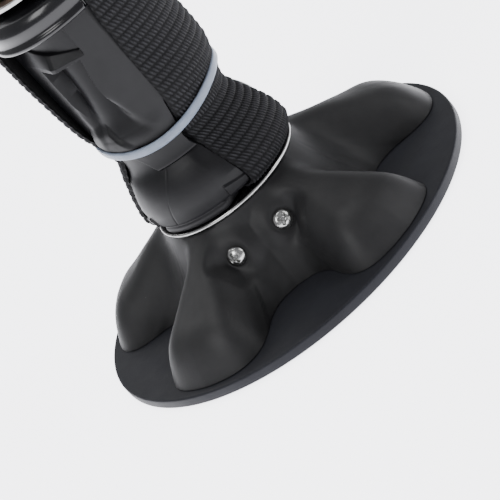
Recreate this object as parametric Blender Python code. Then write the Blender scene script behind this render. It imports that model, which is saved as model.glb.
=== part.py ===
"""Flexible mast foot: a rubber deck pad under a five-lobed foot, with a swivelling tendon joint on top.

Everything stands on the XY plane, +Z up, with the pad's underside centred on the origin.
The screwed panel of the foot faces -Y. Lists of sizes are in millimetres and are scaled by MM.
"""
import math

import bmesh
import bpy
from mathutils import Vector

MM = 0.001
GAP = 0.3

# Deck pad and foot
PAD_RADIUS = 70.0
PAD_THICKNESS = 3.7
PAD_CHAMFER = 0.9
PAD_HOLE_RADIUS = 8.0
LOBES = 5
LOBE_STEP = 360.0 / LOBES
FOOT_BOTTOM = PAD_THICKNESS + GAP
FOOT_TOP = 31.1
HUB_RADIUS = 26.2
VALLEY_RADIUS = 38.2
RIDGE = [(26.2, 31.1), (34.0, 27.6), (41.0, 24.4), (48.5, 20.5), (55.5, 16.6), (61.0, 12.8), (65.2, 8.6),
         (67.4, 4.0)]
FOOT_OUTLINE = [(38.2, 0.0), (39.6, 8.0), (42.7, 12.5), (47.5, 15.0), (54.0, 16.0), (60.0, 17.8), (64.4, 21.7),
                (66.6, 27.5), (67.4, 36.0)]
FOOT_SIDES_PER_LOBE = 16
FOOT_ROWS = 7

# Clamp parts inside the foot
PLATE_RADIUS = 33.0
PLATE_THICKNESS = 3.0
PLATE_TOP = FOOT_BOTTOM + PLATE_THICKNESS
CORE_RADIUS = 21.0
CORE_TOP = 26.0
PLATE_SCREW_CIRCLE = 28.5
PLATE_SCREW_RADIUS = 2.2
PLATE_SCREW_TOP = 17.0
BOLT_RADIUS = 5.0
BOLT_HEAD_RADIUS = 9.8
BOLT_HEAD_TOP = PLATE_TOP + 7.0
BOLT_TOP = 54.0
FOOT_SCREW_ANGLE = 16.4
FOOT_SCREW_TILT = 22.0
FOOT_SCREW_RADIUS = 31.8
FOOT_SCREW_HEIGHT = 21.0
FOOT_SCREW_LENGTH = 15.0

# Joint: heights along the axis
WASHER_RADIUS = 26.7
WASHER_BOTTOM = 31.4
WASHER_TOP = 33.0
JOINT_TURN = math.radians(-33.0)
BEND_HEIGHT = 61.5
SLEEVE_BOTTOM = 54.6
SLEEVE_TOP = 78.0
FRAME_TOP = 110.8
COLLAR_BOTTOM = FRAME_TOP + GAP
COLLAR_TOP = 121.4
TOP_WASHER_BOTTOM = 124.9
TOP_WASHER_TOP = 126.5
TOP_WASHER_RADIUS = 24.6
PIN_FLANGE_RADIUS = 19.5
PIN_FLANGE_TOP = 136.0
PIN_RADIUS = 7.95
PIN_TOP = 178.0
STUD_RADIUS = 5.0
TENDON_BORE = 14.4
WINDOW_SIZE = (17.4, 20.0, 18.0)
WINDOW_DEPTH = 20.5
WINDOW_HEIGHT = 89.0

# Safety straps: centre line from the lower washer, over the waist, to the top washer
STRAP_WIDTH = 38.0
STRAP_THICKNESS = 2.0
STRAP_LINE = [(22.6, 34.4), (25.2, 34.4), (27.4, 35.3), (28.0, 37.6), (27.4, 41.5), (25.6, 46.3), (22.6, 52.2),
              (20.2, 58.0), (20.4, 61.0), (21.3, 63.6), (21.6, 65.2), (21.9, 66.8), (23.1, 69.2), (24.7, 73.5),
              (25.6, 80.0), (26.3, 88.0), (27.0, 98.0), (27.3, 108.0), (27.0, 116.0), (25.6, 121.6), (22.6, 123.6),
              (19.0, 123.6)]
STRAP_FOLD_TOP = 36.0
STRAP_MIN_BEND = 19.0
RIGHT_STRAP_INSET = [(74.0, 0.0), (80.0, 0.5), (88.0, 1.3), (98.0, 1.5), (108.0, 1.5), (116.0, 1.0), (121.6, 0.0)]
RING_HEIGHT = 65.0
RING_INNER = 23.1
RING_THICKNESS = 1.4
RING_WIDTH = 3.0

ROUND = 32
PAD_SIDES = 72
MOULDED_SIDES = 48


def material(name, colour, roughness, metallic=0.0):
    """One plain material with the part's colour."""
    mat = bpy.data.materials.new(name)
    mat.use_nodes = True
    shader = mat.node_tree.nodes["Principled BSDF"]
    shader.inputs["Base Color"].default_value = (*colour, 1.0)
    shader.inputs["Roughness"].default_value = roughness
    shader.inputs["Metallic"].default_value = metallic
    return mat


def add_object(name, bm, mat, parent=None):
    """Turns a bmesh in millimetres into a named object in metres under an optional parent."""
    bmesh.ops.recalc_face_normals(bm, faces=bm.faces)
    bmesh.ops.scale(bm, vec=(MM, MM, MM), verts=bm.verts)
    mesh = bpy.data.meshes.new(name)
    bm.to_mesh(mesh)
    bm.free()
    mesh.shade_smooth()
    mesh.set_sharp_from_angle(angle=math.radians(35))
    obj = bpy.data.objects.new(name, mesh)
    bpy.context.scene.collection.objects.link(obj)
    if mat:
        obj.data.materials.append(mat)
    obj.parent = parent
    return obj


def add_pivot(name, height, turn=0.0, parent=None):
    """An empty on a joint's axis."""
    pivot = bpy.data.objects.new(name, None)
    bpy.context.scene.collection.objects.link(pivot)
    pivot.parent = parent
    pivot.location.z = height * MM
    pivot.rotation_euler.z = turn
    return pivot


def polar(radius, degrees, z):
    """A point at an angle from -Y, counted towards +X."""
    angle = math.radians(degrees)
    return Vector((radius * math.sin(angle), -radius * math.cos(angle), z))


def lofted(rings, closed, curved_ends=False):
    """Skins rings of points. Closed rings run round a hollow; open ones end in caps, quad by quad if curved."""
    bm = bmesh.new()
    rows = [[bm.verts.new(point) for point in ring] for ring in rings]
    count = len(rings[0])
    pairs = list(zip(rows, rows[1:]))
    if closed:
        pairs.append((rows[-1], rows[0]))
    for low, high in pairs:
        for i in range(count):
            j = (i + 1) % count
            bm.faces.new((low[i], low[j], high[j], high[i]))
    for row in () if closed else (rows[0], rows[-1]):
        if curved_ends:
            for i in range(count // 2 - 1):
                bm.faces.new((row[i], row[i + 1], row[count - 2 - i], row[count - 1 - i]))
        else:
            bm.faces.new(row)
    return bm


def turned(profile, closed=False, sides=ROUND, base=0.0):
    """A turned body from (radius, height) pairs; closed profiles leave a bore."""
    step = 360.0 / sides
    rings = [[polar(r, i * step, z - base) for i in range(sides)] for r, z in profile]
    return lofted(rings, closed)


def smooth_line(points, steps):
    """Catmull-Rom curve through points, with a number of steps per stretch."""
    ends = [points[0], *points, points[-1]]
    out = []
    for a, b, c, d in zip(ends, ends[1:], ends[2:], ends[3:]):
        for k in range(steps):
            t = k / steps
            out.append(tuple(
                0.5 * (2 * q + (r - p) * t + (2 * p - 5 * q + 4 * r - s) * t * t + (3 * q - p - 3 * r + s) * t ** 3)
                for p, q, r, s in zip(a, b, c, d)))
    out.append(points[-1])
    return out


def interpolate(points, x):
    """Straight-line value of a list of (x, value) pairs."""
    for (x0, v0), (x1, v1) in zip(points, points[1:]):
        if x <= x1:
            return v0 + (v1 - v0) * (x - x0) / (x1 - x0)
    return points[-1][1]


def cut(obj, cutter):
    """Takes a cutter's shape out of an object."""
    cutter.hide_render = True
    cutter.display_type = "WIRE"
    mod = obj.modifiers.new(cutter.name, "BOOLEAN")
    mod.operation = "DIFFERENCE"
    mod.solver = "EXACT"
    mod.object = cutter


def place_radially(obj, angle, tilt, radius, height):
    """Lays an object's +Z along an outward direction tilted above the horizon."""
    outward = polar(math.cos(math.radians(tilt)), angle, math.sin(math.radians(tilt)))
    obj.rotation_euler = outward.to_track_quat("Z", "Y").to_euler()
    obj.location = polar(radius, angle, height) * MM


def foot_height(radius, u):
    """Height of the foot's outer face; u is the angle from the nearest valley's middle."""
    ridge = interpolate(RIDGE, radius)
    if radius <= VALLEY_RADIUS:
        fall = (radius - HUB_RADIUS) / (VALLEY_RADIUS - HUB_RADIUS)
        valley = FOOT_TOP - (FOOT_TOP - FOOT_BOTTOM) * fall
        edge = 0.0
    else:
        valley = FOOT_BOTTOM
        edge = interpolate(FOOT_OUTLINE[:-1] + [(67.5, 36.0)], radius)
    across = min(1.0, max(0.0, (abs(u) - edge) / max(LOBE_STEP / 2 - edge, 0.01)))
    hump = 1.0 - (1.0 - across) ** 2.2
    return valley + (ridge - valley) * hump


def foot_outline():
    """Base outline of the foot as (radius, angle, angle from the valley) round the whole turn."""
    half = smooth_line(FOOT_OUTLINE, 6)
    lengths = [0.0]
    for (r0, a0), (r1, a1) in zip(half, half[1:]):
        lengths.append(lengths[-1] + (polar(r1, a1, 0) - polar(r0, a0, 0)).length)
    count = FOOT_SIDES_PER_LOBE // 2
    radii = [(s, r) for s, (r, _) in zip(lengths, half)]
    angles = [(s, a) for s, (_, a) in zip(lengths, half)]
    quarter = []
    for k in range(count + 1):
        s = lengths[-1] * k / count
        quarter.append((interpolate(radii, s), interpolate(angles, s), k / count))
    outline = []
    for lobe in range(LOBES):
        middle = lobe * LOBE_STEP
        for r, a, share in reversed(quarter[1:]):
            outline.append((r, middle - a, middle - share * LOBE_STEP / 2))
        for r, a, share in quarter[:-1]:
            outline.append((r, middle + a, middle + share * LOBE_STEP / 2))
    return outline


def valley_angle(degrees):
    """Angle from the nearest valley's middle line."""
    return (degrees + LOBE_STEP / 2) % LOBE_STEP - LOBE_STEP / 2


def make_base_pad(mat):
    profile = [(PAD_HOLE_RADIUS, 0), (PAD_RADIUS - 0.5, 0), (PAD_RADIUS, 0.6), (PAD_RADIUS, PAD_THICKNESS - 0.6),
               (PAD_RADIUS - PAD_CHAMFER, PAD_THICKNESS), (PAD_HOLE_RADIUS, PAD_THICKNESS)]
    return add_object("base_pad", turned(profile, closed=True, sides=PAD_SIDES), mat)


def make_foot_shell(mat):
    outline = foot_outline()
    outer = []
    for row in range(FOOT_ROWS + 1):
        t = row / FOOT_ROWS
        ring = []
        for radius, angle, hub_angle in outline:
            hub = polar(HUB_RADIUS, hub_angle, 0)
            spot = hub.lerp(polar(radius, angle, 0), t)
            r = spot.length
            at = math.degrees(math.atan2(spot.x, -spot.y))
            z = FOOT_BOTTOM if row == FOOT_ROWS else foot_height(r, valley_angle(at))
            ring.append(Vector((spot.x, spot.y, z)))
        outer.append(ring)
    inside = [(PLATE_RADIUS + GAP, FOOT_BOTTOM), (PLATE_RADIUS + GAP, PLATE_TOP + GAP),
              (CORE_RADIUS + GAP, PLATE_TOP + GAP), (CORE_RADIUS + GAP, CORE_TOP + GAP),
              (BOLT_RADIUS + 0.6, CORE_TOP + GAP), (BOLT_RADIUS + 0.6, FOOT_TOP)]
    inner = [[polar(r, hub_angle, z) for _, _, hub_angle in outline] for r, z in inside]
    shell = add_object("foot_shell", lofted(outer + inner, closed=True), mat)
    for index in range(LOBES):
        hole = turned([(PLATE_SCREW_RADIUS + GAP, PLATE_TOP - 2), (PLATE_SCREW_RADIUS + GAP, PLATE_SCREW_TOP + GAP)],
                      sides=16)
        cutter = add_object(f"plate_screw_hole_{index + 1}", hole, None)
        cutter.location = polar(PLATE_SCREW_CIRCLE, LOBE_STEP * (index + 0.5), 0) * MM
        cut(shell, cutter)
    return shell


def make_base_plate(mat):
    profile = [(BOLT_RADIUS + 1, FOOT_BOTTOM), (PLATE_RADIUS, FOOT_BOTTOM), (PLATE_RADIUS, PLATE_TOP),
               (BOLT_RADIUS + 1, PLATE_TOP)]
    plate = add_object("base_plate", turned(profile, closed=True), mat)
    for index in range(LOBES):
        sink = [(PLATE_SCREW_RADIUS + 2.9, FOOT_BOTTOM - 0.4), (PLATE_SCREW_RADIUS + GAP, PLATE_TOP - 0.6),
                (PLATE_SCREW_RADIUS + GAP, PLATE_TOP + 0.5)]
        cutter = add_object(f"plate_sink_{index + 1}", turned(sink, sides=16), None)
        cutter.location = polar(PLATE_SCREW_CIRCLE, LOBE_STEP * (index + 0.5), 0) * MM
        cut(plate, cutter)
    return plate


def make_plate_screws(mat):
    for index in range(LOBES):
        profile = [(PLATE_SCREW_RADIUS + 1.7, FOOT_BOTTOM + 0.2), (PLATE_SCREW_RADIUS, PLATE_TOP - 0.6),
                   (PLATE_SCREW_RADIUS, PLATE_SCREW_TOP - 1), (PLATE_SCREW_RADIUS - 0.9, PLATE_SCREW_TOP)]
        screw = add_object(f"plate_screw_{index + 1}", turned(profile, sides=16), mat)
        screw.location = polar(PLATE_SCREW_CIRCLE, LOBE_STEP * (index + 0.5), 0) * MM


def make_hub_core(mat):
    floor = PLATE_TOP + GAP
    recess = BOLT_HEAD_TOP + GAP
    profile = [(BOLT_HEAD_RADIUS + 1.6, floor), (CORE_RADIUS, floor), (CORE_RADIUS, CORE_TOP - 1),
               (CORE_RADIUS - 1, CORE_TOP), (BOLT_RADIUS + 0.6, CORE_TOP), (BOLT_RADIUS + 0.6, recess),
               (BOLT_HEAD_RADIUS + 1.6, recess)]
    return add_object("hub_core", turned(profile, closed=True), mat)


def make_foot_screws(mat, shell, core):
    """Two pan-head screws through the front panel into the core, each in a shallow round seat."""
    names = {-1: "foot_screw_left", 1: "foot_screw_right"}
    for side, name in names.items():
        pan = [(1.75, -FOOT_SCREW_LENGTH), (2.2, 1 - FOOT_SCREW_LENGTH), (2.2, -0.2), (3.45, -0.2), (3.45, 0.5),
               (3.1, 1.3), (2.3, 1.85), (1.3, 2.1)]
        screw = add_object(name, turned(pan, sides=24), mat)
        seat = add_object(f"{name}_seat", turned([(4.1, -0.5), (4.1, 6.0)], sides=24), None)
        bore = add_object(f"{name}_bore", turned([(2.5, -FOOT_SCREW_LENGTH - 0.5), (2.5, 1.0)], sides=24), None)
        for piece in (screw, seat, bore):
            place_radially(piece, side * FOOT_SCREW_ANGLE, FOOT_SCREW_TILT, FOOT_SCREW_RADIUS, FOOT_SCREW_HEIGHT)
        cut(shell, seat)
        cut(shell, bore)
        cut(core, bore)


def make_centre_bolt(mat):
    floor = PLATE_TOP + GAP
    head = turned([(BOLT_HEAD_RADIUS, floor), (BOLT_HEAD_RADIUS, BOLT_HEAD_TOP)], sides=6)
    bolt = add_object("centre_bolt", head, mat)
    shank = turned([(BOLT_RADIUS, BOLT_HEAD_TOP - 1), (BOLT_RADIUS, BOLT_TOP - 1), (BOLT_RADIUS - 1, BOLT_TOP)],
                   sides=24)
    post = add_object("centre_bolt_shank", shank, None)
    post.hide_render = True
    post.display_type = "WIRE"
    join = bolt.modifiers.new("shank", "BOOLEAN")
    join.operation = "UNION"
    join.solver = "EXACT"
    join.object = post


def side_angle(degrees):
    """Angle from the nearer strap's middle line."""
    return abs(abs((degrees + 180) % 360 - 180) - 90)


def strap_inset(z, right):
    """How much closer the right strap lies than the left one."""
    if not right or z < RIGHT_STRAP_INSET[0][0]:
        return 0.0
    return interpolate(RIGHT_STRAP_INSET, z)


def strap_clearance(z, right):
    """Largest radius that stays inside a strap at a height."""
    line = [(h, x) for x, h in STRAP_LINE[2:-2]]
    if z < STRAP_FOLD_TOP:
        return STRAP_LINE[0][0] - 2 * GAP
    return interpolate(line, z) - strap_inset(z, right) - STRAP_THICKNESS / 2 - 1.5 * GAP


def beside_straps(radius, degrees, z):
    """Radius cut back under the straps, with a soft shoulder at their edges."""
    limit = strap_clearance(z, 0 < degrees % 360 < 180)
    half = math.degrees(STRAP_WIDTH / 2 / max(limit, 1.0)) + 3.0
    away = side_angle(degrees)
    if away <= half:
        return min(radius, limit)
    blend = min(1.0, (away - half) / 5.0)
    return min(radius, limit + (radius - limit) * blend) if radius > limit else radius


def moulded(outer, inner, parent_height, sides=MOULDED_SIDES):
    """A body round the straps: outer rows follow beside_straps, inner rows are turned."""
    step = 360.0 / sides
    rings = []
    for radius, z in outer:
        value = radius if callable(radius) else (lambda degrees, r=radius: r)
        rings.append([polar(beside_straps(value(i * step), i * step, z), i * step, z - parent_height)
                      for i in range(sides)])
    for radius, z in inner:
        rings.append([polar(radius, i * step, z - parent_height) for i in range(sides)])
    return lofted(rings, closed=True)


def make_lower_joint(pivot, rubber, nylon, steel, bush_mat):
    base = WASHER_TOP
    boot = [(25.4, 33.3), (26.1, 34.2), (26.1, 35.6), (26.4, 37.0), (26.7, 40.5), (26.5, 44.0), (25.6, 48.0),
            (24.0, 51.5), (21.9, SLEEVE_BOTTOM - GAP)]
    bore = [(13.4, SLEEVE_BOTTOM - GAP), (13.4, 37.1), (19.9, 37.1), (19.9, 33.3)]
    add_object("lower_boot", moulded(boot, bore, base), rubber, pivot)
    hub = [(7.3, 33.3), (19.5, 33.3), (19.5, 36.8), (13.0, 36.8), (13.0, 54.3), (9.4, 54.3), (9.4, 46.2), (7.3, 46.2)]
    add_object("lower_end_hub", turned(hub, closed=True, base=base), nylon, pivot)
    bush = [(5.3, 33.4), (7.0, 33.4), (7.0, 46.0), (5.3, 46.0)]
    add_object("swivel_bush", turned(bush, closed=True, base=base, sides=32), bush_mat, pivot)
    tendon = [(13.0, 54.9), (12.6, 56.5), (11.0, 61.5), (11.0, 66.0), (11.8, 76.0), (13.2, 88.0), (14.0, 96.0)]
    add_object("tendon", turned(tendon, base=base), rubber, pivot)
    washer = [(5.3, 46.5), (8.9, 46.5), (8.9, 47.7), (5.3, 47.7)]
    add_object("thrust_washer", turned(washer, closed=True, sides=32), steel)
    nut = add_object("lock_nut", turned([(5.3, 48.0), (8.6, 48.0), (8.6, 53.0), (5.3, 53.0)], closed=True, sides=6),
                     steel)
    widen = add_object("lock_nut_bore", turned([(5.3, 47.0), (5.3, 54.5)], sides=24), None)
    cut(nut, widen)


def make_silicone_ring(pivot, silicone):
    outer = RING_INNER + RING_THICKNESS
    low = RING_HEIGHT - RING_WIDTH / 2
    high = RING_HEIGHT + RING_WIDTH / 2
    ring = [(RING_INNER, low), (outer - 0.5, low), (outer, low + 0.7), (outer, high - 0.7), (outer - 0.5, high),
            (RING_INNER, high)]
    add_object("silicone_ring", turned(ring, closed=True, sides=MOULDED_SIDES, base=WASHER_TOP), silicone, pivot)


def make_straps(pivot, webbing):
    """Two flat webbing legs on the local X sides, each curved round the joint."""
    line = smooth_line(STRAP_LINE, 1)
    across = 9
    for sign, name in ((1, "strap_right"), (-1, "strap_left")):
        rings = []
        for k, (x, z) in enumerate(line):
            ahead = Vector(line[min(k + 1, len(line) - 1)])
            behind = Vector(line[max(k - 1, 0)])
            along = (ahead - behind).normalized()
            normal = Vector((along.y, -along.x))
            ring = []
            for face in (1, -1):
                row = range(across) if face == 1 else reversed(range(across))
                for i in row:
                    shift = STRAP_WIDTH * (i / (across - 1) - 0.5)
                    radius = max(x, STRAP_MIN_BEND)
                    angle = shift / radius
                    reach = x - strap_inset(z, sign > 0) + face * normal.x * STRAP_THICKNESS / 2
                    height = z + face * normal.y * STRAP_THICKNESS / 2
                    ring.append(Vector((sign * reach * math.cos(angle), reach * math.sin(angle),
                                        height - WASHER_TOP)))
            rings.append(ring)
        add_object(name, lofted(rings, closed=False, curved_ends=True), webbing, pivot)


def frame_radius(degrees):
    """Outline of the window frame: two flat rails meet at the front and at the back."""
    away = abs((degrees + 90) % 180 - 90)
    return min(21.4 / math.cos(math.radians(min(away, 50) - 22.0)), 23.6)


def make_upper_joint(pivot, rubber, nylon, steel, bronze, collar_mat):
    base = BEND_HEIGHT
    sleeve = [(22.6, SLEEVE_BOTTOM), (22.2, 57.0), (22.0, 60.0), (22.3, 62.5), (22.6, 64.0), (22.6, 66.5),
              (22.9, 70.0), (frame_radius, 74.0), (frame_radius, SLEEVE_TOP)]
    bore = [(TENDON_BORE, SLEEVE_TOP), (13.6, 66.0), (13.6, SLEEVE_BOTTOM)]
    add_object("waist_sleeve", moulded(sleeve, bore, base), rubber, pivot)
    frame = [(frame_radius, SLEEVE_TOP + GAP), (frame_radius, 90.0), (frame_radius, 101.7),
             (21.6, 104.0), (21.4, FRAME_TOP)]
    hole = [(TENDON_BORE, FRAME_TOP), (TENDON_BORE, SLEEVE_TOP + GAP)]
    shell = add_object("window_frame", moulded(frame, hole, base), rubber, pivot)
    for side, where in ((-1, "front"), (1, "rear")):
        bm = bmesh.new()
        bmesh.ops.create_cube(bm, size=1.0)
        bmesh.ops.scale(bm, vec=WINDOW_SIZE, verts=bm.verts)
        bmesh.ops.translate(bm, vec=(0, side * WINDOW_DEPTH, WINDOW_HEIGHT - base), verts=bm.verts)
        window = add_object(f"window_{where}", bm, None, pivot)
        cut(shell, window)
    hub = [(STUD_RADIUS + GAP, 96.4), (14.0, 96.4), (14.0, 108.5), (STUD_RADIUS + GAP, 108.5)]
    add_object("upper_end_hub", turned(hub, closed=True, base=base), nylon, pivot)
    ring = [(25.6, COLLAR_BOTTOM), (26.5, COLLAR_BOTTOM + 0.8), (26.5, COLLAR_BOTTOM + 1.8), (25.8, 114.5),
            (25.8, 117.0), (24.2, 119.8), (22.0, COLLAR_TOP)]
    add_object("collar", moulded(ring, [(STUD_RADIUS + GAP, COLLAR_TOP), (STUD_RADIUS + GAP, COLLAR_BOTTOM)], base),
               collar_mat, pivot)
    washer = [(STUD_RADIUS + GAP, TOP_WASHER_BOTTOM), (TOP_WASHER_RADIUS, TOP_WASHER_BOTTOM),
              (TOP_WASHER_RADIUS, TOP_WASHER_TOP), (STUD_RADIUS + GAP, TOP_WASHER_TOP)]
    add_object("top_washer", turned(washer, closed=True, base=base), steel, pivot)
    stud = [(STUD_RADIUS - 1, 98.0), (STUD_RADIUS, 99.0), (STUD_RADIUS, 133.0), (STUD_RADIUS - 1, 134.0)]
    add_object("pin_stud", turned(stud, base=base, sides=24), steel, pivot)
    seat = TOP_WASHER_TOP + GAP
    pin = [(STUD_RADIUS + GAP, seat), (PIN_FLANGE_RADIUS - 0.8, seat), (PIN_FLANGE_RADIUS, seat + 0.8),
           (PIN_FLANGE_RADIUS, PIN_FLANGE_TOP - 1.2), (PIN_FLANGE_RADIUS - 1.2, PIN_FLANGE_TOP),
           (PIN_RADIUS + 1, PIN_FLANGE_TOP), (PIN_RADIUS, PIN_FLANGE_TOP + 1), (PIN_RADIUS, 160.0), (6.0, 162.0),
           (6.0, 165.0), (PIN_RADIUS, 167.0), (PIN_RADIUS, PIN_TOP - 3), (PIN_RADIUS - 3, PIN_TOP),
           (2.0, PIN_TOP), (2.0, 134.5), (STUD_RADIUS + GAP, 134.5)]
    add_object("mast_pin", turned(pin, closed=True, base=base), bronze, pivot)


def make_lower_washer(mat):
    profile = [(BOLT_RADIUS + GAP, WASHER_BOTTOM), (WASHER_RADIUS - 0.3, WASHER_BOTTOM),
               (WASHER_RADIUS, WASHER_BOTTOM + 0.4), (WASHER_RADIUS, WASHER_TOP - 0.4),
               (WASHER_RADIUS - 0.3, WASHER_TOP), (BOLT_RADIUS + GAP, WASHER_TOP)]
    add_object("lower_washer", turned(profile, closed=True, sides=MOULDED_SIDES), mat)


def main():
    for obj in list(bpy.data.objects):
        bpy.data.objects.remove(obj, do_unlink=True)
    pad_rubber = material("pad_rubber", (0.018, 0.019, 0.024), 0.6)
    soft_touch = material("soft_touch", (0.021, 0.022, 0.024), 0.55)
    joint_rubber = material("joint_rubber", (0.012, 0.012, 0.015), 0.3)
    collar_gloss = material("collar_gloss", (0.010, 0.010, 0.013), 0.2)
    nylon = material("nylon", (0.03, 0.03, 0.03), 0.5)
    acetal = material("acetal", (0.75, 0.75, 0.72), 0.4)
    steel = material("stainless", (0.62, 0.62, 0.61), 0.25, 1.0)
    bronze = material("bronze", (0.26, 0.17, 0.12), 0.35, 1.0)
    webbing = material("webbing", (0.012, 0.012, 0.014), 0.8)
    silicone = material("silicone", (0.55, 0.60, 0.68), 0.35)

    make_base_pad(pad_rubber)
    shell = make_foot_shell(soft_touch)
    make_base_plate(steel)
    make_plate_screws(steel)
    core = make_hub_core(nylon)
    make_foot_screws(steel, shell, core)
    make_centre_bolt(steel)
    make_lower_washer(steel)

    swivel = add_pivot("swivel_axis", WASHER_TOP, JOINT_TURN)
    bend = add_pivot("bend_axis", BEND_HEIGHT - WASHER_TOP, 0.0, swivel)
    make_lower_joint(swivel, joint_rubber, nylon, steel, acetal)
    make_silicone_ring(swivel, silicone)
    make_straps(swivel, webbing)
    make_upper_joint(bend, joint_rubber, nylon, steel, bronze, collar_gloss)


main()
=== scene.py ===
"""Looks for the flexible mast foot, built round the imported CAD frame. Lists of sizes are in millimetres."""
import math

import bmesh
import bpy
import numpy as np
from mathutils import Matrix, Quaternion, Vector


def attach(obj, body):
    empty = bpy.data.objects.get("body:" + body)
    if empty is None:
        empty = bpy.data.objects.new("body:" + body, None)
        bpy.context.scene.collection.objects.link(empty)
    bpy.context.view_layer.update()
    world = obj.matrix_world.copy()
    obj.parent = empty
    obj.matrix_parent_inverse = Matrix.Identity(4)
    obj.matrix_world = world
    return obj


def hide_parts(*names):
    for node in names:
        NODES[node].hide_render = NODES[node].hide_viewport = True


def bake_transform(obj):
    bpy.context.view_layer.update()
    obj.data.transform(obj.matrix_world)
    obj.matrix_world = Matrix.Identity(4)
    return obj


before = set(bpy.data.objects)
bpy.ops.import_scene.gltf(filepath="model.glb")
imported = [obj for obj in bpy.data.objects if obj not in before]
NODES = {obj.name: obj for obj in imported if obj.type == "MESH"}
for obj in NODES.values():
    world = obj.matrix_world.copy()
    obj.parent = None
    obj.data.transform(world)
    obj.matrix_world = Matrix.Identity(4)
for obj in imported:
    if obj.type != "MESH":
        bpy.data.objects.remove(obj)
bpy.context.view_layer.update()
MM = 0.001

# Sizes shared with the CAD
TURN = -33.0  # degrees from the foot's front to the joint's
PAD_TOP = 3.7
PAD_RADIUS = 70.0
FOOT_BOTTOM = 4.0
FOOT_TOP = 31.1
HUB_RADIUS = 26.2
LOBES = 5
LOBE_STEP = 360.0 / LOBES
BOLT_CLEARANCE = 5.3
FOOT_OUTLINE = [(38.2, 0.0), (39.6, 8.0), (42.7, 12.5), (47.5, 15.0), (54.0, 16.0), (60.0, 17.8),
                (64.4, 21.7), (66.6, 27.5), (67.4, 36.0)]
SCREW_ANGLE = 16.4
SCREW_TILT = 22.0
SCREW_RADIUS = 31.8
SCREW_HEIGHT = 21.0
STRAP_WIDTH = 38.0
STRAP_THICKNESS = 2.0
STRAP_MIN_BEND = 19.0
STRAP_LINE = [(22.6, 34.4), (25.2, 34.4), (27.4, 35.3), (28.0, 37.6), (27.4, 41.5), (25.6, 46.3),
              (22.6, 52.2), (20.2, 58.0), (20.6, 61.0), (21.5, 63.6), (22.0, 65.2), (22.6, 66.8),
              (23.4, 69.2), (24.7, 73.5), (25.6, 80.0), (26.3, 88.0), (27.0, 98.0), (27.3, 108.0),
              (27.0, 116.0), (25.6, 121.6), (22.6, 123.6), (19.0, 123.6)]
RIGHT_STRAP_INSET = [(74.0, 0.0), (80.0, 0.5), (88.0, 1.3), (98.0, 1.5), (108.0, 1.5), (116.0, 1.0),
                     (121.6, 0.0)]
LEFT_STRAP_INSET = [(43.0, 0.0), (48.0, -0.7), (53.0, -1.6), (57.0, -1.7), (61.0, -0.8), (64.0, 0.0)]
STRAP_GATHER = [(35.0, 0.95), (44.0, 0.96), (53.0, 0.90), (62.0, 0.92), (75.0, 1.0), (90.0, 1.04),
                (103.0, 1.03), (113.0, 0.97), (124.0, 1.0)]

AROUND = 720


# ---------------------------------------------------------------- geometry helpers
def polar(radius, degrees, z):
    """Points at an angle from -Y, counted towards +X."""
    angle = np.radians(degrees)
    radius, angle, z = np.broadcast_arrays(radius, angle, z)
    return np.stack([radius * np.sin(angle), -radius * np.cos(angle), z], axis=-1).astype(float)


def ease(x):
    x = np.clip(x, 0.0, 1.0)
    return x * x * (3 - 2 * x)


def dense(points, steps=12):
    """Catmull-Rom curve through rows of numbers."""
    p = np.array([points[0], *points, points[-1]], float)
    t = np.linspace(0, 1, steps, endpoint=False)[:, None]
    out = []
    for a, b, c, d in zip(p, p[1:], p[2:], p[3:]):
        square = 2 * a - 5 * b + 4 * c - d
        cube = 3 * b - a - 3 * c + d
        out.append(0.5 * (2 * b + (c - a) * t + square * t ** 2 + cube * t ** 3))
    return np.vstack([*out, p[-1:]])


def along(table, x):
    """Smooth value of a list of (x, value) pairs."""
    curve = dense(table)
    return np.interp(x, curve[:, 0], curve[:, 1])


def even(line, count):
    """Points spaced evenly along a line."""
    line = np.asarray(line, float)
    steps = np.linalg.norm(np.diff(line, axis=0), axis=1)
    length = np.concatenate([[0], np.cumsum(steps)])
    at = np.linspace(0, length[-1], count)
    return np.stack([np.interp(at, length, line[:, i]) for i in range(line.shape[1])], axis=-1)


def skin(name, points, mat, wrap_rows=False, caps=False, crease=35):
    """A closed body from a grid of points in millimetres, whose columns run round."""
    rows, columns = points.shape[:2]
    index = np.arange(rows * columns).reshape(rows, columns)
    upper = np.roll(index, -1, axis=0) if wrap_rows else index[1:]
    lower = index if wrap_rows else index[:-1]
    quads = np.stack([lower, np.roll(lower, -1, axis=1), np.roll(upper, -1, axis=1), upper], axis=-1)
    faces = [tuple(quad) for quad in quads.reshape(-1, 4).tolist()]
    if caps:
        faces.append(tuple(index[0].tolist()))
        faces.append(tuple(index[-1].tolist()))
    mesh = bpy.data.meshes.new(name)
    mesh.from_pydata((points.reshape(-1, 3) * MM).tolist(), [], faces)
    bm = bmesh.new()
    bm.from_mesh(mesh)
    bmesh.ops.recalc_face_normals(bm, faces=bm.faces)
    bm.to_mesh(mesh)
    bm.free()
    mesh.shade_smooth()
    mesh.set_sharp_from_angle(angle=math.radians(crease))
    obj = bpy.data.objects.new(name, mesh)
    bpy.context.scene.collection.objects.link(obj)
    obj.data.materials.append(mat)
    return obj


def rounded(profile, radius=0.35, steps=3):
    """Rounds the corners of a closed (radius, height) profile."""
    pts = np.array(profile, float)
    out = []
    for before, corner, after in zip(np.roll(pts, 1, axis=0), pts, np.roll(pts, -1, axis=0)):
        a = before - corner
        b = after - corner
        reach = min(radius, 0.45 * np.linalg.norm(a), 0.45 * np.linalg.norm(b))
        start = corner + a / np.linalg.norm(a) * reach
        end = corner + b / np.linalg.norm(b) * reach
        for t in np.linspace(0, 1, steps + 1):
            out.append((1 - t) ** 2 * start + 2 * t * (1 - t) * corner + t * t * end)
    return np.array(out)


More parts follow.
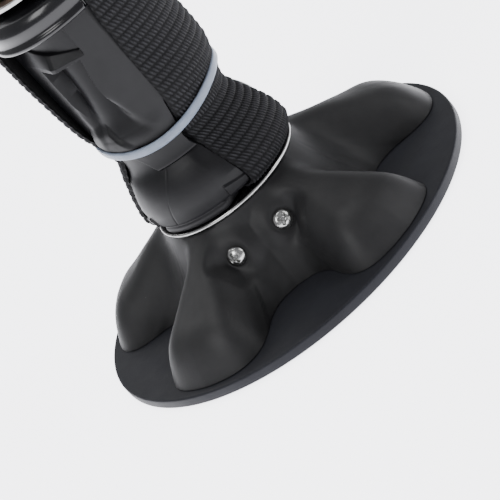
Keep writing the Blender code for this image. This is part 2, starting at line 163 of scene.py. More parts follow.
def lathe(name, profile, mat, sides=160, radius=0.35, crease=40):
    """A turned ring with rounded corners."""
    line = rounded(profile, radius)
    angles = np.arange(sides) * 360.0 / sides
    points = polar(line[:, 0:1], angles[None, :], line[:, 1:2])
    return skin(name, points, mat, wrap_rows=True, crease=crease)


# ---------------------------------------------------------------- material helpers
class Nodes:
    """Short hand for building one node material on object coordinates."""

    def __init__(self, name, colour, roughness, metallic=0.0, specular=0.5):
        self.mat = bpy.data.materials.new(name)
        self.mat.use_nodes = True
        self.tree = self.mat.node_tree
        self.shader = self.tree.nodes["Principled BSDF"]
        self.shader.inputs["Base Color"].default_value = (*colour, 1.0)
        self.shader.inputs["Roughness"].default_value = roughness
        self.shader.inputs["Metallic"].default_value = metallic
        self.shader.inputs["Specular IOR Level"].default_value = specular
        self.coords = self.tree.nodes.new("ShaderNodeTexCoord").outputs["Object"]
        self.height = None

    def put(self, socket, value):
        if isinstance(value, bpy.types.NodeSocket):
            self.tree.links.new(value, socket)
        else:
            socket.default_value = value

    def mapping(self, scale):
        node = self.tree.nodes.new("ShaderNodeMapping")
        node.inputs["Scale"].default_value = scale
        self.tree.links.new(self.coords, node.inputs["Vector"])
        return node.outputs["Vector"]

    def noise(self, scale, detail=3.0, roughness=0.55, stretch=None):
        node = self.tree.nodes.new("ShaderNodeTexNoise")
        self.tree.links.new(self.mapping(stretch) if stretch else self.coords, node.inputs["Vector"])
        node.inputs["Scale"].default_value = scale
        node.inputs["Detail"].default_value = detail
        node.inputs["Roughness"].default_value = roughness
        return node.outputs["Fac"]

    def cells(self, scale):
        node = self.tree.nodes.new("ShaderNodeTexVoronoi")
        self.tree.links.new(self.coords, node.inputs["Vector"])
        node.inputs["Scale"].default_value = scale
        return node.outputs["Distance"]

    def ramp(self, value, stops):
        node = self.tree.nodes.new("ShaderNodeValToRGB")
        elements = node.color_ramp.elements
        while len(elements) < len(stops):
            elements.new(0.5)
        for element, (place, colour) in zip(elements, stops):
            element.position = place
            element.color = (*colour, 1.0) if isinstance(colour, tuple) else (colour, colour, colour, 1.0)
        self.put(node.inputs["Fac"], value)
        return node.outputs["Color"]

    def math(self, kind, a, b=0.0):
        node = self.tree.nodes.new("ShaderNodeMath")
        node.operation = kind
        self.put(node.inputs[0], a)
        self.put(node.inputs[1], b)
        return node.outputs[0]

    def blend(self, share, a, b):
        """Colour between a and b."""
        node = self.tree.nodes.new("ShaderNodeMix")
        node.data_type = "RGBA"
        self.put(node.inputs[0], share)
        self.put(node.inputs[6], (*a, 1.0) if isinstance(a, tuple) else a)
        self.put(node.inputs[7], (*b, 1.0) if isinstance(b, tuple) else b)
        return node.outputs[2]

    def colour(self, value):
        self.put(self.shader.inputs["Base Color"], value)

    def rough(self, value, low, high):
        node = self.tree.nodes.new("ShaderNodeMapRange")
        self.put(node.inputs["Value"], value)
        node.inputs["To Min"].default_value = low
        node.inputs["To Max"].default_value = high
        self.put(self.shader.inputs["Roughness"], node.outputs[0])

    def bump(self, value, distance, strength=1.0):
        """Adds a bump on top of those already there; distance in millimetres."""
        node = self.tree.nodes.new("ShaderNodeBump")
        node.inputs["Strength"].default_value = strength
        node.inputs["Distance"].default_value = distance * MM
        self.put(node.inputs["Height"], value)
        if self.height:
            self.tree.links.new(self.height, node.inputs["Normal"])
        self.height = node.outputs["Normal"]
        self.put(self.shader.inputs["Normal"], self.height)

    def set(self, **values):
        for name, value in values.items():
            self.shader.inputs[name.replace("_", " ")].default_value = value


def soft_touch():
    m = Nodes("soft_touch", (0.006, 0.006, 0.007), 0.5, specular=0.26)
    mottle = m.noise(90, 4, 0.6)
    dark_light = m.ramp(mottle, [(0.3, (0.0050, 0.0050, 0.0056)), (0.72, (0.0105, 0.0104, 0.0110))])
    specks = m.ramp(m.cells(260), [(0.0, 1.0), (0.035, 1.0), (0.06, 0.0)])
    sparse = m.ramp(m.noise(60, 2), [(0.60, 0.0), (0.66, 1.0)])
    dust = m.math("MULTIPLY", specks, sparse)
    m.colour(m.blend(m.math("MULTIPLY", dust, 0.35), dark_light, (0.12, 0.115, 0.11)))
    m.rough(m.noise(150, 5, 0.6), 0.42, 0.60)
    m.bump(m.noise(3200, 2, 0.6), 0.035, 0.6)
    m.bump(m.noise(420, 3, 0.5), 0.05, 0.35)
    m.set(Sheen_Weight=0.03, Sheen_Roughness=0.5)
    return m.mat


def pad_rubber():
    m = Nodes("pad_rubber", (0.005, 0.0053, 0.0075), 0.55, specular=0.18)
    tone = m.noise(70, 4, 0.6)
    base = m.ramp(tone, [(0.3, (0.0034, 0.0038, 0.0064)), (0.75, (0.0072, 0.0078, 0.0118))])
    specks = m.ramp(m.cells(330), [(0.0, 1.0), (0.04, 1.0), (0.06, 0.0)])
    sparse = m.ramp(m.noise(80, 2), [(0.62, 0.0), (0.68, 1.0)])
    m.colour(m.blend(m.math("MULTIPLY", m.math("MULTIPLY", specks, sparse), 0.25), base, (0.11, 0.11, 0.12)))
    m.rough(m.noise(120, 4), 0.46, 0.66)
    m.bump(m.noise(2400, 2, 0.6), 0.045, 0.7)
    m.bump(m.noise(300, 3), 0.05, 0.3)
    m.set(Sheen_Weight=0.05, Sheen_Roughness=0.5)
    return m.mat


def joint_rubber():
    m = Nodes("joint_rubber", (0.004, 0.004, 0.005), 0.45, specular=0.2)
    tone = m.noise(110, 4, 0.6)
    m.colour(m.ramp(tone, [(0.3, (0.0020, 0.0020, 0.0026)), (0.75, (0.0048, 0.0048, 0.0058))]))
    m.rough(m.noise(190, 5, 0.62), 0.38, 0.54)
    m.bump(m.noise(2600, 2, 0.6), 0.02, 0.4)
    m.bump(m.noise(230, 3), 0.07, 0.35)
    return m.mat


def collar_gloss():
    m = Nodes("collar_gloss", (0.003, 0.003, 0.004), 0.2, specular=0.32)
    m.colour(m.ramp(m.noise(80, 3), [(0.3, (0.0026, 0.0026, 0.0034)), (0.75, (0.0060, 0.0060, 0.0070))]))
    scuffs = m.noise(60, 6, 0.7, stretch=(1, 1, 9))
    m.rough(scuffs, 0.13, 0.32)
    m.bump(m.noise(190, 3), 0.08, 0.3)
    m.bump(m.noise(1500, 2), 0.01, 0.3)
    m.set(Coat_Weight=0.15, Coat_Roughness=0.12)
    return m.mat


def nylon():
    m = Nodes("nylon", (0.03, 0.03, 0.03), 0.5)
    m.colour(m.ramp(m.noise(140, 4), [(0.3, (0.014, 0.014, 0.015)), (0.75, (0.026, 0.026, 0.027))]))
    m.rough(m.noise(220, 4), 0.42, 0.62)
    m.bump(m.noise(1800, 3), 0.03, 0.6)
    return m.mat


def acetal():
    m = Nodes("acetal", (0.75, 0.75, 0.72), 0.35)
    m.colour(m.ramp(m.noise(160, 3), [(0.3, (0.7, 0.7, 0.67)), (0.75, (0.79, 0.79, 0.77))]))
    m.rough(m.noise(300, 3, stretch=(1, 1, 6)), 0.28, 0.45)
    m.bump(m.noise(900, 2, stretch=(1, 1, 8)), 0.02, 0.5)
    m.set(Subsurface_Weight=0.1, Subsurface_Scale=0.002)
    return m.mat


def stainless():
    m = Nodes("stainless", (0.62, 0.62, 0.61), 0.22, metallic=1.0)
    m.colour(m.ramp(m.noise(240, 4), [(0.3, (0.27, 0.27, 0.265)), (0.75, (0.50, 0.50, 0.49))]))
    m.rough(m.noise(500, 5, 0.7, stretch=(1, 1, 14)), 0.10, 0.34)
    m.bump(m.noise(900, 3, 0.6, stretch=(1, 1, 10)), 0.012, 0.6)
    m.bump(m.noise(160, 2), 0.05, 0.25)
    return m.mat


def bronze():
    m = Nodes("bronze", (0.26, 0.17, 0.12), 0.35, metallic=1.0)
    m.colour(m.ramp(m.noise(120, 5, 0.65), [(0.25, (0.10, 0.066, 0.048)), (0.55, (0.19, 0.125, 0.09)),
                                             (0.8, (0.27, 0.19, 0.13))]))
    m.rough(m.noise(260, 5, 0.7, stretch=(1, 1, 12)), 0.26, 0.5)
    m.bump(m.noise(700, 3, stretch=(1, 1, 14)), 0.02, 0.6)
    return m.mat


def webbing_cloth():
    m = Nodes("webbing", (0.012, 0.012, 0.014), 0.7, specular=0.12)
    attribute = m.tree.nodes.new("ShaderNodeAttribute")
    attribute.attribute_name = "weave"
    height = attribute.outputs["Fac"]
    yarn = m.noise(1500, 3, 0.6)
    top = m.ramp(yarn, [(0.3, (0.010, 0.010, 0.0115)), (0.75, (0.024, 0.024, 0.027))])
    # painted shade: near black where the weave attribute is low, in the valleys between the yarns and at the
    # strap's edges; the yarn's own tone on the tops
    m.colour(m.blend(m.ramp(height, [(0.15, 0.0), (0.8, 1.0)]), (0.0012, 0.0012, 0.0016), top))
    m.rough(m.noise(900, 3), 0.5, 0.8)
    m.bump(m.noise(6500, 2, 0.6, stretch=(1, 1, 0.35)), 0.05, 0.8)
    m.set(Sheen_Weight=0.03, Sheen_Roughness=0.45)
    return m.mat


def silicone():
    m = Nodes("silicone", (0.30, 0.36, 0.44), 0.32, specular=0.4)
    m.colour(m.ramp(m.noise(220, 4), [(0.3, (0.14, 0.165, 0.21)), (0.75, (0.19, 0.225, 0.28))]))
    m.rough(m.noise(400, 4), 0.26, 0.44)
    m.bump(m.noise(1300, 2), 0.015, 0.4)
    m.set(Subsurface_Weight=0.5, Subsurface_Scale=0.001, Transmission_Weight=0.1, IOR=1.41)
    m.shader.inputs["Subsurface Radius"].default_value = (1.0, 1.0, 1.1)
    return m.mat


def floor_paper():
    m = Nodes("floor_paper", (0.92, 0.92, 0.93), 0.8, specular=0.1)
    m.colour(m.ramp(m.noise(3, 2), [(0.3, (0.915, 0.915, 0.925)), (0.75, (0.93, 0.93, 0.94))]))
    m.rough(m.noise(40, 2), 0.75, 0.85)
    m.shader.inputs["Emission Color"].default_value = (0.95, 0.95, 1.0, 1.0)
    m.shader.inputs["Emission Strength"].default_value = 3.8
    return m.mat


MATERIALS = {make.__name__: make() for make in (soft_touch, pad_rubber, joint_rubber, collar_gloss, nylon,
                                                acetal, stainless, bronze, webbing_cloth, silicone)}


# ---------------------------------------------------------------- deck pad
def make_pad():
    profile = [(8.0, 0.0), (PAD_RADIUS, 0.0), (PAD_RADIUS, PAD_TOP), (8.0, PAD_TOP)]
    line = rounded(profile, 0.8, 5)
    angles = np.arange(288) * 360.0 / 288
    wave = 0.05 * np.sin(np.radians(angles * 3 + 40)) + 0.03 * np.sin(np.radians(angles * 7))
    share = np.clip((line[:, 0:1] - 60) / 10, 0, 1)
    points = polar(line[:, 0:1] - 0.08 * share, angles[None, :], line[:, 1:2])
    points[..., 2] += wave[None, :] * share * (line[:, 1:2] > 1.5) - 0.05 * share * (line[:, 1:2] > 1.5)
    return skin("deck_pad", points, MATERIALS["pad_rubber"], wrap_rows=True, crease=40)


# ---------------------------------------------------------------- lobed foot
PLATEAU = [(26.2, 27.1), (34.0, 23.7), (41.0, 20.6), (48.5, 16.9), (55.5, 14.2), (61.0, 12.6), (65.2, 11.4),
           (67.4, 10.8)]
WALL_WIDTH = 15.0


def foot_height(radius, u):
    """Height of the foot's outer face; u is the angle from the nearest valley's middle.

    A wall rises from the outline to a sloping top: nearly straight by the hub, round further out.
    """
    half = dense(FOOT_OUTLINE, 40)
    edge = polar(half[:, 0], half[:, 1], 0.0)[:, :2]
    spot = polar(radius, np.abs(u), 0.0)[..., :2]
    away = np.full(radius.shape, 1e3)
    for x, y in edge:
        away = np.minimum(away, np.hypot(spot[..., 0] - x, spot[..., 1] - y))
    width = np.minimum(away + radius - HUB_RADIUS, WALL_WIDTH)
    share = np.clip(away / np.maximum(width, 0.01), 0, 1)
    power = 1.12 + 2.3 * ease((radius - 30.0) / 20.0)
    return FOOT_BOTTOM + along(PLATEAU, radius) * (1 - (1 - share) ** power)


def foot_grid(rows=64, per_half=64):
    half = dense(FOOT_OUTLINE, 20)
    flat = polar(half[:, 0], half[:, 1], 0.0)
    length = np.concatenate([[0], np.cumsum(np.linalg.norm(np.diff(flat, axis=0), axis=1))])
    share = np.linspace(0, 1, per_half + 1)
    r = np.interp(share * length[-1], length, half[:, 0])
    a = np.interp(share * length[-1], length, half[:, 1])
    hub = share * LOBE_STEP / 2
    ring_r, ring_a, ring_h = [], [], []
    for lobe in range(LOBES):
        middle = lobe * LOBE_STEP
        ring_r += list(r[:0:-1]) + list(r[:-1])
        ring_a += list(middle - a[:0:-1]) + list(middle + a[:-1])
        ring_h += list(middle - hub[:0:-1]) + list(middle + hub[:-1])
    outline = polar(np.array(ring_r), np.array(ring_a), 0.0)
    start = polar(HUB_RADIUS, np.array(ring_h), 0.0)
    t = np.linspace(0, 1, rows + 1)
    t = t + 0.06 * np.sin(2 * np.pi * t) / (2 * np.pi)
    spots = start[None] * (1 - t[:, None, None]) + outline[None] * t[:, None, None]
    return spots, np.array(ring_h)


def soften(z, passes=60):
    """Evens out creases of the foot's outer face, whose first and last rows stay."""
    for _ in range(passes):
        middle = z[1:-1]
        sides = np.roll(middle, 1, axis=1) + np.roll(middle, -1, axis=1)
        z = np.vstack([z[:1], 0.5 * middle + 0.125 * (sides + z[:-2] + z[2:]), z[-1:]])
    return z


def measured_from(spots, centre, axis):
    """Height over a seat's plane and distance from its axis."""
    offset = spots - centre
    height = offset @ axis
    return height, np.linalg.norm(offset - height[..., None] * axis, axis=-1)


def foot_surface():
    """Outer face of the foot with a flat seat round each front screw; also each seat's centre and axis."""
    spots, hub_angles = foot_grid()
    radius = np.hypot(spots[..., 0], spots[..., 1])
    angle = np.degrees(np.arctan2(spots[..., 0], -spots[..., 1]))
    u = (angle + LOBE_STEP / 2) % LOBE_STEP - LOBE_STEP / 2
    spots[..., 2] = foot_height(radius, u)
    spots[-1, :, 2] = FOOT_BOTTOM
    spots[..., 2] = soften(spots[..., 2])
    seats = []
    tilt = math.radians(SCREW_TILT)
    for side in (-1, 1):
        centre = polar(SCREW_RADIUS, side * SCREW_ANGLE, SCREW_HEIGHT)
        axis = polar(math.cos(tilt), side * SCREW_ANGLE, math.sin(tilt))
        height, away = measured_from(spots, centre, axis)
        centre = centre + axis * height[(away < 4.0) & (np.abs(height) < 6)].mean()
        seats.append((centre, axis))
    for centre, axis in seats:
        height, away = measured_from(spots, centre, axis)
        near = (1 - ease((away - 3.9) / 6.5)) * (1 - ease((np.abs(height) - 4.0) / 4.0))
        spots -= (near * height)[..., None] * axis
    for centre, axis in seats:
        height, away = measured_from(spots, centre, axis)
        dish = 0.18 * (1 - ease((away - 4.0) / 0.5)) * (np.abs(height) < 2)
        spots -= dish[..., None] * axis
    return spots, hub_angles, seats


def make_foot(spots, hub_angles):
    top = [(25.6, FOOT_TOP), (21.0, FOOT_TOP), (5.6, FOOT_TOP)]
    under = [(33.3, FOOT_BOTTOM), (33.3, 7.3), (21.3, 7.3), (21.3, 26.3), (5.6, 26.3)]
    rings = [polar(r, hub_angles, z) for r, z in reversed(top)]
    rings += list(spots)
    rings += [polar(r, hub_angles, z) for r, z in under]
    return skin("lobed_foot", np.array(rings), MATERIALS["soft_touch"], wrap_rows=True, crease=55)


# ---------------------------------------------------------------- front screws
def make_screw(name, centre, axis, turn):
    """A pan-head screw with a cross recess: a disc grid pressed down along two crossed slots."""
    sides = 72
    head = dense([(0.0, 2.05), (0.9, 2.02), (1.7, 1.85), (2.5, 1.45), (3.05, 0.9), (3.28, 0.35),
                  (3.28, 0.0)], 8)
    head = even(head, 34)
    shank = np.array([(3.28, -0.15), (2.2, -0.2), (2.2, -14.0), (1.75, -15.0), (0.02, -15.0)])
    head[0, 0] = 0.02
    line = np.vstack([head, shank])
    angles = np.arange(sides) * 360.0 / sides
    local = polar(line[:, 0:1], angles[None, :], line[:, 1:2])
    x, y, z = local[..., 0], local[..., 1], local[..., 2]
    arm_a = np.maximum(np.abs(x) / 1.75, np.abs(y) / 0.42)
    arm_b = np.maximum(np.abs(y) / 1.75, np.abs(x) / 0.42)
    cross = 1 - ease((np.minimum(arm_a, arm_b) - 0.85) / 0.35)
    core = 1 - ease((np.hypot(x, y) - 0.55) / 0.5)
    top = z > 0.5
    local[..., 2] = np.where(top, z - np.maximum(cross * 0.95, core * 1.15), z)
    rotation = (Vector(axis).to_track_quat("Z", "Y") @ Quaternion((0, 0, 1), math.radians(turn))).to_matrix()
    points = local @ np.array(rotation).T + centre
    return skin(name, points, MATERIALS["stainless"], caps=True, crease=35)


# ---------------------------------------------------------------- joint surfaces
def local_angle(degrees):
    """Angle in -180..180."""
    return (degrees + 180) % 360 - 180


def strap_side(degrees):
    """Angle from the nearer strap's middle line."""
    return np.abs(np.abs(local_angle(degrees)) - 90)


def strap_inset(z, right):
    """How much closer to the axis a strap lies: the right one above the band, the left one less below it."""
    return np.where(right, np.interp(z, *zip(*RIGHT_STRAP_INSET), left=0.0),
                    np.interp(z, *zip(*LEFT_STRAP_INSET)))


def under_strap(z, degrees):
    """Largest radius that stays inside a strap at a height."""
    line = dense(STRAP_LINE[2:-2], 6)
    reach = np.interp(z, line[:, 1], line[:, 0])
    reach = np.where(z < 36.0, 22.0, reach)
    return reach - strap_inset(z, local_angle(degrees) > 0) - STRAP_THICKNESS / 2 - 0.35


def beside_straps(radius, degrees, z, shoulder=0.0):
    """Radius cut back under the straps. With a shoulder, it grows slowly from that height beside them."""
    limit = under_strap(z, degrees)
    gather = np.interp(z, *zip(*STRAP_GATHER))
    half = np.degrees(gather * STRAP_WIDTH / 2 / np.maximum(limit, STRAP_MIN_BEND)) - 2.6
    away = strap_side(degrees)
    if shoulder:
        soft = limit + shoulder + (radius - limit - shoulder) * ease((away - half) / 15.0)
        radius = np.where(radius > limit + shoulder, soft, radius)
    share = ease((away - half) / 1.0)
    return np.where(radius > limit, limit + (radius - limit) * share, radius)


def groove(distance, width, depth):
    """A narrow moulded line: down into the surface at its middle."""
    return -depth * np.exp(-(distance / width) ** 2)


def angles_grid(count):
    return np.arange(count) * 360.0 / count


def flap_edge(signed):
    """Height of the flap's lower edge: level on the right, slanting up on the left, then level again."""
    return 54.7 + 0.53 * np.clip(3.0 - signed, 0.0, 18.0) * (1 - ease((-signed - 38.0) / 20.0))


def make_boot():
    z_line = np.linspace(33.3, 54.4, 84)
    profile = [(33.3, 25.6), (33.9, 26.2), (35.0, 26.35), (35.7, 26.15), (36.1, 26.0), (37.0, 26.3),
               (40.5, 26.75), (44.0, 26.5), (48.0, 25.5), (51.5, 23.9), (54.4, 21.9), (57.0, 21.0),
               (60.0, 20.7), (65.0, 20.7)]
    a = angles_grid(AROUND)[None, :]
    top = flap_edge(local_angle(2 * a) / 2) - 0.3
    z = z_line[:, None] + (top - 54.4) * ease((z_line[:, None] - 46.0) / 8.4)
    r = along(profile, z) + 0 * a
    for flip in (0.0, 180.0):
        seam = local_angle(a - flip - np.interp(z, [35, 45, 54], [-13.0, -4.0, 9.0]))
        r += groove(seam * 0.45, 0.22, 0.16) * ease((z - 35.6) / 1.2)
        side = local_angle(a - flip)
        for sign in (-1, 1):
            tab = ease((side * sign - 35.5) / 1.0) * (1 - ease((z - 39.6 + 0.10 * (side * sign - 40)) / 0.7))
            r += 0.75 * tab * ease((z - 35.6) / 0.6)
    r = beside_straps(r, a, z, 0.9)
    outer = polar(r, a + TURN, z)
    bore = [polar(13.4, a[0] + TURN, top[0])]
    bore += [polar(q, a[0] + TURN, h) for q, h in ((13.4, 37.1), (19.9, 37.1), (19.9, 33.3))]
    points = np.concatenate([outer, np.array(bore)])
    return skin("lower_boot_rubber", points, MATERIALS["joint_rubber"], wrap_rows=True, crease=50)


FRAME_CENTRE = -5.0
WINDOW_RIGHT = [(60.0, 44.0), (66.4, 34.0), (69.0, 28.0), (72.0, 22.5), (76.0, 17.0), (80.0, 13.5),
                (84.0, 12.0), (88.5, 12.0), (92.0, 13.5), (95.5, 15.6), (98.5, 17.5), (101.0, 18.5)]
WINDOW_LEFT = [(60.0, -30.0), (75.0, -28.5), (80.0, -28.0), (101.0, -27.5)]
WINDOW_FLOOR = [(60.0, 21.6), (64.0, 21.6), (68.0, 21.1), (72.0, 20.4), (77.0, 19.4), (83.0, 18.4),
                (89.0, 17.6), (95.0, 17.1), (102.0, 16.8)]
WAIST = [(54.0, 21.9), (57.0, 21.3), (60.0, 21.1), (63.0, 21.5), (66.0, 22.2), (70.0, 22.7), (74.0, 23.0),
         (112.0, 23.0)]
RAIL_ANGLE = 27.0
RAIL_REACH = 21.4
RAIL_CORNER = 23.6
TENDON_MIDDLE = -9.0
NECK_RADIUS = 19.6
TENDON_BORE = 13.8


def make_moulding():
    """Waist, tongue and window frame: one rubber moulding round the tendon, alike at front and back."""
    zs = np.concatenate([np.linspace(54.7, 70, 80), np.linspace(70.3, 96.6, 90), np.linspace(96.8, 109.0, 84),
                         np.linspace(109.3, 110.8, 5)])
    a = angles_grid(AROUND)[None, :]
    signed = local_angle(2 * a) / 2
    lower = flap_edge(signed)
    z = zs[:, None] + (lower - 54.7) * (1 - ease((zs[:, None] - 54.7) / 14.0))
    away = np.abs(local_angle(2 * (a - FRAME_CENTRE)) / 2)
    rails = np.minimum(RAIL_REACH / np.cos(np.radians(np.minimum(away, 55.0) - RAIL_ANGLE)), RAIL_CORNER)
    share = ease((z - 65.0) / 8.0)
    r = along(WAIST, z) * (1 - share) + rails * share
    # window round the tendon; its upper edge and the facet over it rise towards the left
    rise = np.clip((22.0 - signed) / 50.0, 0, 1)
    window_top = 98.6 + 1.8 * rise
    slope = 0.9 + 5.0 * (1 - ease((z - 68.0) / 14.0))
    inside = ease((along(WINDOW_RIGHT, z) - signed) / slope) * ease((signed - along(WINDOW_LEFT, z)) / slope)
    inside = inside * ease((window_top - z) / 0.35) * ease((z - 63.0) / 13.0)
    bulge = np.cos(np.radians(np.clip((signed - TENDON_MIDDLE) * 4.6, -90, 90)))
    floor = along(WINDOW_FLOOR, z) - 1.3 * (1 - bulge) * ease((z - 70.0) / 14.0)
    r = r * (1 - inside) + np.minimum(floor, r) * inside
    # soft waist, crisp window top
    soft = soften(r, 90)
    share = (1 - ease((z - 76.0) / 10.0)) * ease((z - lower - 2.0) / 3.0)
    r = r * (1 - share) + soft * share
    facet_low = 99.3 + 3.0 * rise
    facet_high = 101.0 + 7.0 * rise
    over = ease((24.0 - signed) / 1.5) * ease((signed + 58.0) / 6.0)
    fall = np.clip((z - facet_low) / (facet_high - facet_low), 0, 1) * over
    r = r - np.maximum(r - NECK_RADIUS, 0) * (0.62 * fall + 0.38 * ease((z - facet_high) / 0.5) * over)
    # flap over the boot, with a rounded lower edge
    flap = 1 - ease((z - lower - 7.5) / 4.0)
    r = r + 0.9 * flap - 0.5 * (1 - np.sqrt(1 - (1 - np.clip((z - lower) / 0.7, 0, 1)) ** 2))
    r = beside_straps(r, a, z)
    outer = polar(r, a + TURN, z)
    bore = [polar(TENDON_BORE, a[0] + TURN, h) for h in (110.8, 96.0, 86.0, 76.0, 70.0)]
    bore += [polar(TENDON_BORE, a[0] + TURN, lower[0] + (70.0 - lower[0]) * part)
             for part in (0.66, 0.33, 0.0)]
    points = np.concatenate([outer, np.array(bore)])
    return skin("window_moulding", points, MATERIALS["joint_rubber"], wrap_rows=True, crease=32)


def make_tendon():
    line = even(dense([(12.8, 54.9), (12.4, 56.5), (11.0, 61.5), (11.0, 66.0), (11.8, 76.0), (13.0, 88.0),
                       (13.6, 96.0)]), 40)
    a = angles_grid(96)
    points = polar(line[:, 0:1], a[None, :] + TURN, line[:, 1:2])
    return skin("tendon_core", points, MATERIALS["joint_rubber"], caps=True)


def make_band():
    """Silicone band round the waist and the straps, slightly tilted."""
    a = angles_grid(360)
    height = 64.9 - 2.0 * np.cos(np.radians(2 * (a - 25.0)))
    middle = 23.5 - 0.35 * np.cos(np.radians(2 * a))
    section = []
    for k in range(20):
        t = 2 * math.pi * k / 20
        flat = 1.5 * math.copysign(abs(math.sin(t)) ** 0.75, math.sin(t))
        thick = 0.62 * math.copysign(abs(math.cos(t)) ** 0.8, math.cos(t))
        section.append(polar(middle + thick, a + TURN, height + flat))
    return skin("silicone_band", np.array(section), MATERIALS["silicone"], wrap_rows=True, crease=60)


# ---------------------------------------------------------------- webbing
ROW_PITCH = 2.8
DASH_PITCH = 1.27
WEAVE_DEPTH = 0.55


def weave(s, t):
    """Height of the weave over the webbing's face: slanted dashes in rows across the width."""
    row = s / ROW_PITCH
    ridge = np.abs(np.sin(np.pi * row)) ** 0.7
    lean = (row % 1.0 - 0.5) * 0.9
    dash = 0.5 + 0.5 * np.cos(2 * np.pi * (t / DASH_PITCH + lean))
    return ridge * (0.15 + 0.85 * dash ** 1.2)


def make_strap(name, sign):
    line = even(dense(STRAP_LINE, 14), 520)
    tangent = np.gradient(line, axis=0)
    tangent /= np.linalg.norm(tangent, axis=1)[:, None]
    normal = np.stack([tangent[:, 1], -tangent[:, 0]], axis=1)
    s = np.concatenate([[0], np.cumsum(np.linalg.norm(np.diff(line, axis=0), axis=1))])
    inner = np.linspace(-0.5, 0.5, 200) * STRAP_WIDTH
    columns = []
    weave_shade = []
    slack = 0.12 * np.sin(s * 0.21) + 0.08 * np.sin(s * 0.53 + 1.0)
    half = STRAP_THICKNESS / 2

    def point(t, h):
        """Places a spot t across and h off the centre line, for all s."""
        reach = line[:, 0] - strap_inset(line[:, 1], sign > 0) + h * normal[:, 0]
        gather = np.interp(line[:, 1], *zip(*STRAP_GATHER))
        angle = (t * gather + slack) / np.maximum(line[:, 0], STRAP_MIN_BEND)
        height = line[:, 1] + h * normal[:, 1]
        return np.stack([sign * reach * np.cos(angle), reach * np.sin(angle), height], axis=1)

    for t in inner:
        rim = ease((STRAP_WIDTH / 2 - abs(t)) / 2.2)
        pattern = weave(s, t) * (0.4 + 0.6 * rim)
        h = half - WEAVE_DEPTH + WEAVE_DEPTH * pattern - 0.9 * (1 - rim) ** 2
        columns.append(point(t, h))
        weave_shade.append(pattern)
    for t in inner[::-8]:
        rim = ease((STRAP_WIDTH / 2 - abs(t)) / 2.2)
        columns.append(point(t, -half + 0.1 + 0.2 * (1 - rim) ** 2 + 0 * s))
        weave_shade.append(0.5 + 0 * s)
    grid = np.stack(columns, axis=1)
    turn = math.radians(TURN)
    c, d = math.cos(turn), math.sin(turn)
    x, y = grid[..., 0].copy(), grid[..., 1].copy()
    grid[..., 0] = x * c - y * d
    grid[..., 1] = x * d + y * c
    strap = skin(name, grid, MATERIALS["webbing_cloth"], caps=True, crease=70)
    # the weave attribute carries the painted shade of the webbing's colour: low in the weave's valleys and at
    # the edges, 0.5 on the underside
    tone = strap.data.attributes.new("weave", "FLOAT", "POINT")
    tone.data.foreach_set("value", np.stack(weave_shade, axis=1).ravel().astype(np.float32))
    return strap


# ---------------------------------------------------------------- top of the joint
def make_collar():
    outline = [(25.4, 111.1), (26.2, 111.3), (26.5, 112.0), (26.3, 112.8), (25.8, 113.4), (25.6, 114.5),
               (25.8, 117.0), (25.2, 119.0), (24.0, 120.4), (22.0, 121.4)]
    z_line = even(dense(outline, 8), 60)
    a = angles_grid(360)[None, :]
    z = z_line[:, 1:2]
    r = beside_straps(z_line[:, 0:1] + 0 * a, a, z + 0 * a)
    outer = polar(r, a + TURN, z)
    bore = [polar(BOLT_CLEARANCE, a[0] + TURN, h) for h in (121.4, 111.1)]
    points = np.concatenate([outer, np.array(bore)])
    return skin("top_collar", points, MATERIALS["collar_gloss"], wrap_rows=True, crease=50)


def make_pin():
    profile = [(BOLT_CLEARANCE, 126.8), (19.5, 126.8), (19.5, 136.0), (8.6, 136.0), (7.95, 137.0),
               (7.95, 160.0), (6.0, 162.0), (6.0, 165.0), (7.95, 167.0), (7.95, 175.5), (5.2, 178.0),
               (2.0, 178.0), (2.0, 134.5), (BOLT_CLEARANCE, 134.5)]
    return lathe("bronze_mast_pin", profile, MATERIALS["bronze"], 128, 0.6)


# ---------------------------------------------------------------- pieces on their bodies
def stand_in(obj, nodes, body=None):
    """Puts a piece in place of CAD nodes: riding on one body, or, without a body, unparented with its
    placement baked into the mesh.
    """
    if body:
        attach(obj, body)
    else:
        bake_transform(obj)
    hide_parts(*nodes)


stand_in(make_pad(), ["base_pad"], "foot")
surface, hub_spread, seats = foot_surface()
stand_in(make_foot(surface, hub_spread), ["foot_shell"], "foot")
for (centre, axis), side, turn in zip(seats, ("left", "right"), (21.0, 52.0)):
    screw = make_screw(f"cross_screw_{side}", centre, axis, turn)
    stand_in(screw, [f"foot_screw_{side}"], "foot")
washer = lathe("polished_washer",
               [(BOLT_CLEARANCE, 31.4), (26.7, 31.4), (26.7, 32.8), (BOLT_CLEARANCE, 32.8)],
               MATERIALS["stainless"], 256, 0.7)
stand_in(washer, ["lower_washer"], "foot")

stand_in(make_boot(), ["lower_boot"])
stand_in(make_moulding(), ["waist_sleeve", "window_frame"])
stand_in(make_tendon(), ["tendon"])
stand_in(make_band(), ["silicone_ring"])
stand_in(make_strap("woven_strap_right", 1), ["strap_right"])
stand_in(make_strap("woven_strap_left", -1), ["strap_left"])
stand_in(make_collar(), ["collar"], "upper_joint")
plate = lathe("polished_top_washer",
              [(BOLT_CLEARANCE, 124.9), (24.6, 124.9), (24.6, 126.5), (BOLT_CLEARANCE, 126.5)],
              MATERIALS["stainless"], 192)
stand_in(plate, ["top_washer"], "upper_joint")
stand_in(make_pin(), ["mast_pin"], "upper_joint")

KEPT = {"stainless": ["base_plate", "centre_bolt", "thrust_washer", "lock_nut", "pin_stud"]
        + [f"plate_screw_{i}" for i in range(1, LOBES + 1)],
        "nylon": ["hub_core", "lower_end_hub", "upper_end_hub"], "acetal": ["swivel_bush"]}
for key, names in KEPT.items():
    for name in names:
        NODES[name].data.materials.clear()
        NODES[name].data.materials.append(MATERIALS[key])


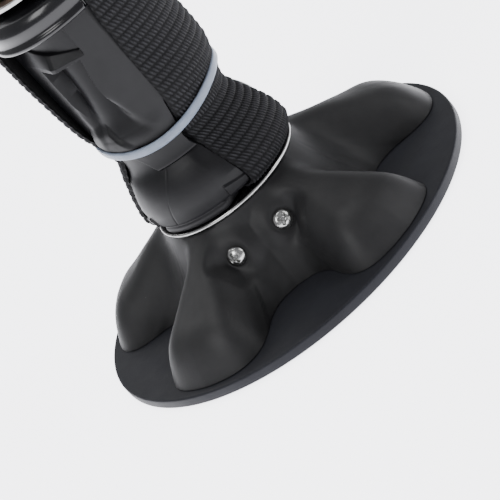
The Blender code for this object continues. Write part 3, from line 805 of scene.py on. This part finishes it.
# ---------------------------------------------------------------- floor, light and camera
def make_floor():
    size = 1.6
    depth = -0.0005
    mesh = bpy.data.meshes.new("floor")
    corners = [(-size, -size, depth), (size, -size, depth), (size, size, depth), (-size, size, depth)]
    mesh.from_pydata(corners, [], [(0, 1, 2, 3)])
    floor = bpy.data.objects.new("floor", mesh)
    bpy.context.scene.collection.objects.link(floor)
    floor.data.materials.append(floor_paper())


def make_light(name, place, aim, size, energy, colour=(1, 1, 1)):
    data = bpy.data.lights.new(name, "AREA")
    data.shape = "RECTANGLE"
    data.size, data.size_y = size
    data.energy = energy
    data.color = colour
    lamp = bpy.data.objects.new(name, data)
    bpy.context.scene.collection.objects.link(lamp)
    lamp.location = place
    lamp.rotation_euler = (Vector(aim) - Vector(place)).to_track_quat("-Z", "Y").to_euler()


def make_world():
    world = bpy.data.worlds.new("studio")
    world.use_nodes = True
    background = world.node_tree.nodes["Background"]
    background.inputs["Color"].default_value = (0.96, 0.965, 1.0, 1.0)
    background.inputs["Strength"].default_value = 0.5
    bpy.context.scene.world = world


def make_camera():
    azimuth = math.radians(8.7)
    elevation = math.radians(24.009)
    back = Vector((math.sin(azimuth) * math.cos(elevation), -math.cos(azimuth) * math.cos(elevation),
                   math.sin(elevation)))
    data = bpy.data.cameras.new("camera")
    data.lens = 165.6
    data.sensor_width = 36.0
    data.clip_start = 0.01
    camera = bpy.data.objects.new("camera", data)
    bpy.context.scene.collection.objects.link(camera)
    camera.location = back * 0.745
    aim = Vector((-0.01014, 0.0, 0.00637))
    look = (aim - camera.location).to_track_quat("-Z", "Y") @ Quaternion((0, 0, 1), math.radians(-42.53))
    camera.rotation_mode = "QUATERNION"
    camera.rotation_quaternion = look
    bpy.context.scene.camera = camera


make_floor()
make_world()
make_light("key", (-0.45, -0.55, 0.75), (0, 0, 0.03), (0.35, 0.5), 5.0)
make_light("fill", (0.75, -0.2, 0.45), (0, 0, 0.05), (0.3, 0.5), 2.0)
make_light("top", (0.0, 0.15, 0.9), (0, 0, 0.05), (0.4, 0.4), 3.4)
make_light("back", (-0.35, 0.6, 0.75), (0, 0, 0.05), (0.5, 0.4), 2.0)
make_camera()
